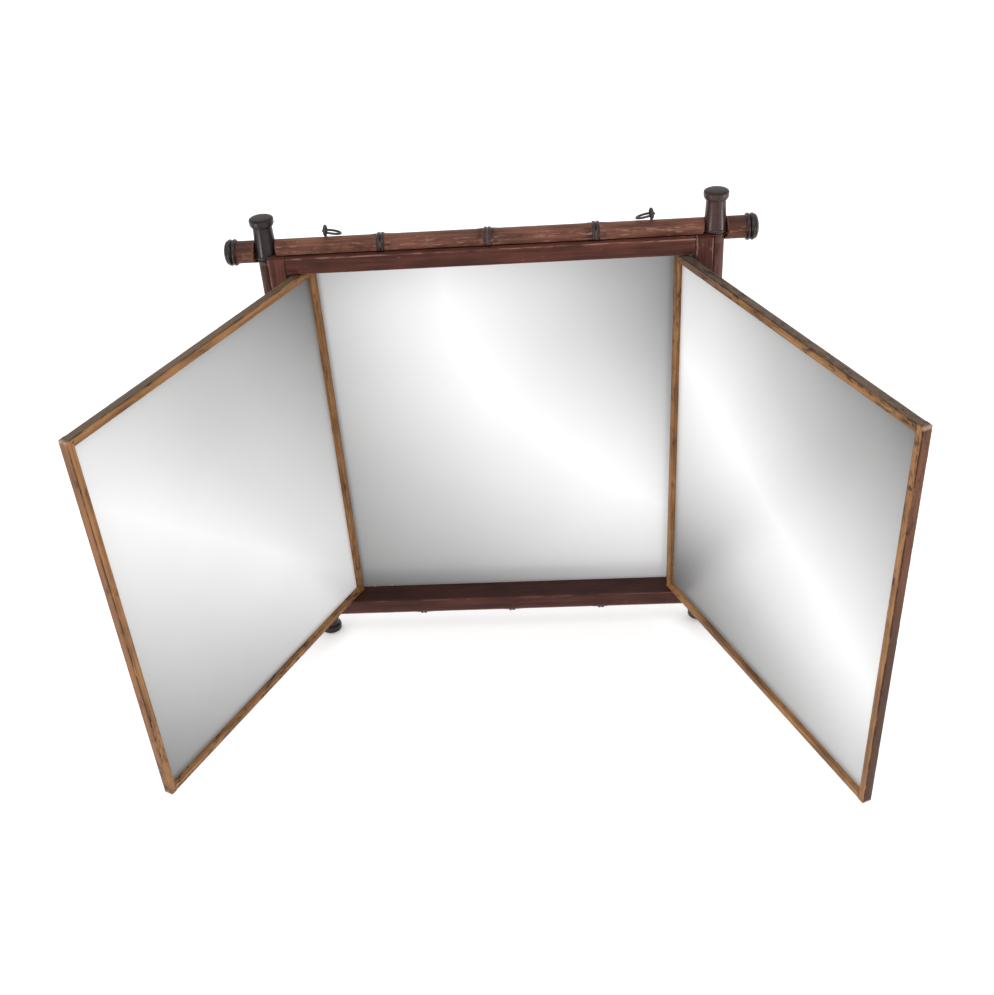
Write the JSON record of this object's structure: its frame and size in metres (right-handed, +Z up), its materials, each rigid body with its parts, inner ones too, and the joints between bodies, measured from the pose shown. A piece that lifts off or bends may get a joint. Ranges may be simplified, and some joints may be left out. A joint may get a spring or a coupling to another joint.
{
  "type": "trifold vanity mirror",
  "caption": "Wall-hung folding mirror: a shallow box with a fixed glass, framed mirror wings that fold into it on pins, faux-bamboo poles round it and hanging rings.",
  "frame": {"origin": "centre of the flat back of the box, where it meets the wall", "axes": "+X to the right along the poles, +Y into the wall, +Z up along the posts"},
  "size_m": [0.5508, 0.2858, 0.428],
  "materials": {
    "carcass_wood": "worn satin reddish-brown stain",
    "pole_wood": "worn satin brown stain, near-black turned ends",
    "post_wood": "worn satin brown stain, near-black turned ends",
    "wing_wood": "worn satin golden-brown stain",
    "back_wood": "bare, unfinished",
    "mirror_glass": "polished, aged silvering",
    "iron_wire": "dark oxidised wire",
    "steel": "dull, tarnished",
    "brass": "tarnished"
  },
  "bodies": {
    "box": {"carcass_stile_left": "carcass_wood", "carcass_stile_right": "carcass_wood", "carcass_rail_top": "carcass_wood", "carcass_rail_bottom": "carcass_wood", "carcass_nails": "steel", "centre_mirror_glass": "mirror_glass", "back_board": "back_wood", "back_board_tacks": "steel", "bamboo_pole_top": "pole_wood", "bamboo_pole_bottom": "pole_wood", "bamboo_post_left": "post_wood", "bamboo_post_right": "post_wood", "pole_brads": "steel", "screw_eye_left": "iron_wire", "screw_eye_right": "iron_wire", "left_pivot_pin_top": "steel", "left_pivot_pin_bottom": "steel", "left_pivot_washer": "brass", "right_pivot_pin_top": "steel", "right_pivot_pin_bottom": "steel", "right_pivot_washer": "brass"},
    "left_wing": {"left_wing_hinge_stile": "wing_wood", "left_wing_free_stile": "wing_wood", "left_wing_rail_top": "wing_wood", "left_wing_rail_bottom": "wing_wood", "left_wing_mirror_glass": "mirror_glass", "left_wing_back_panel": "back_wood", "left_wing_frame_brads": "steel", "left_wing_panel_tacks": "steel"},
    "right_wing": {"right_wing_hinge_stile": "wing_wood", "right_wing_free_stile": "wing_wood", "right_wing_rail_top": "wing_wood", "right_wing_rail_bottom": "wing_wood", "right_wing_mirror_glass": "mirror_glass", "right_wing_back_panel": "back_wood", "right_wing_frame_brads": "steel", "right_wing_panel_tacks": "steel"},
    "left_ring": {"hanging_ring_left": "iron_wire"},
    "right_ring": {"hanging_ring_right": "iron_wire"}
  },
  "joints": [
    {"name": "left_wing_hinge", "type": "hinge", "parent": "box", "child": "left_wing", "pos_m": [-0.144, -0.013, 0], "axis": [0, 0, -1], "range_deg": [-117.47, 5.8]},
    {"name": "right_wing_hinge", "type": "hinge", "parent": "box", "child": "right_wing", "pos_m": [0.149, -0.0216, 0], "axis": [0, 0, 1], "range_deg": [-115.01, 10.6]},
    {"name": "left_ring_swing", "type": "hinge", "parent": "box", "child": "left_ring", "pos_m": [-0.127, -0.015, 0.1972], "axis": [0.766, -0.6428, 0], "range_deg": [0, 210]},
    {"name": "right_ring_swing", "type": "hinge", "parent": "box", "child": "right_ring", "pos_m": [0.127, -0.015, 0.1972], "axis": [0.766, 0.6428, 0], "range_deg": [0, 210]}
  ]
}
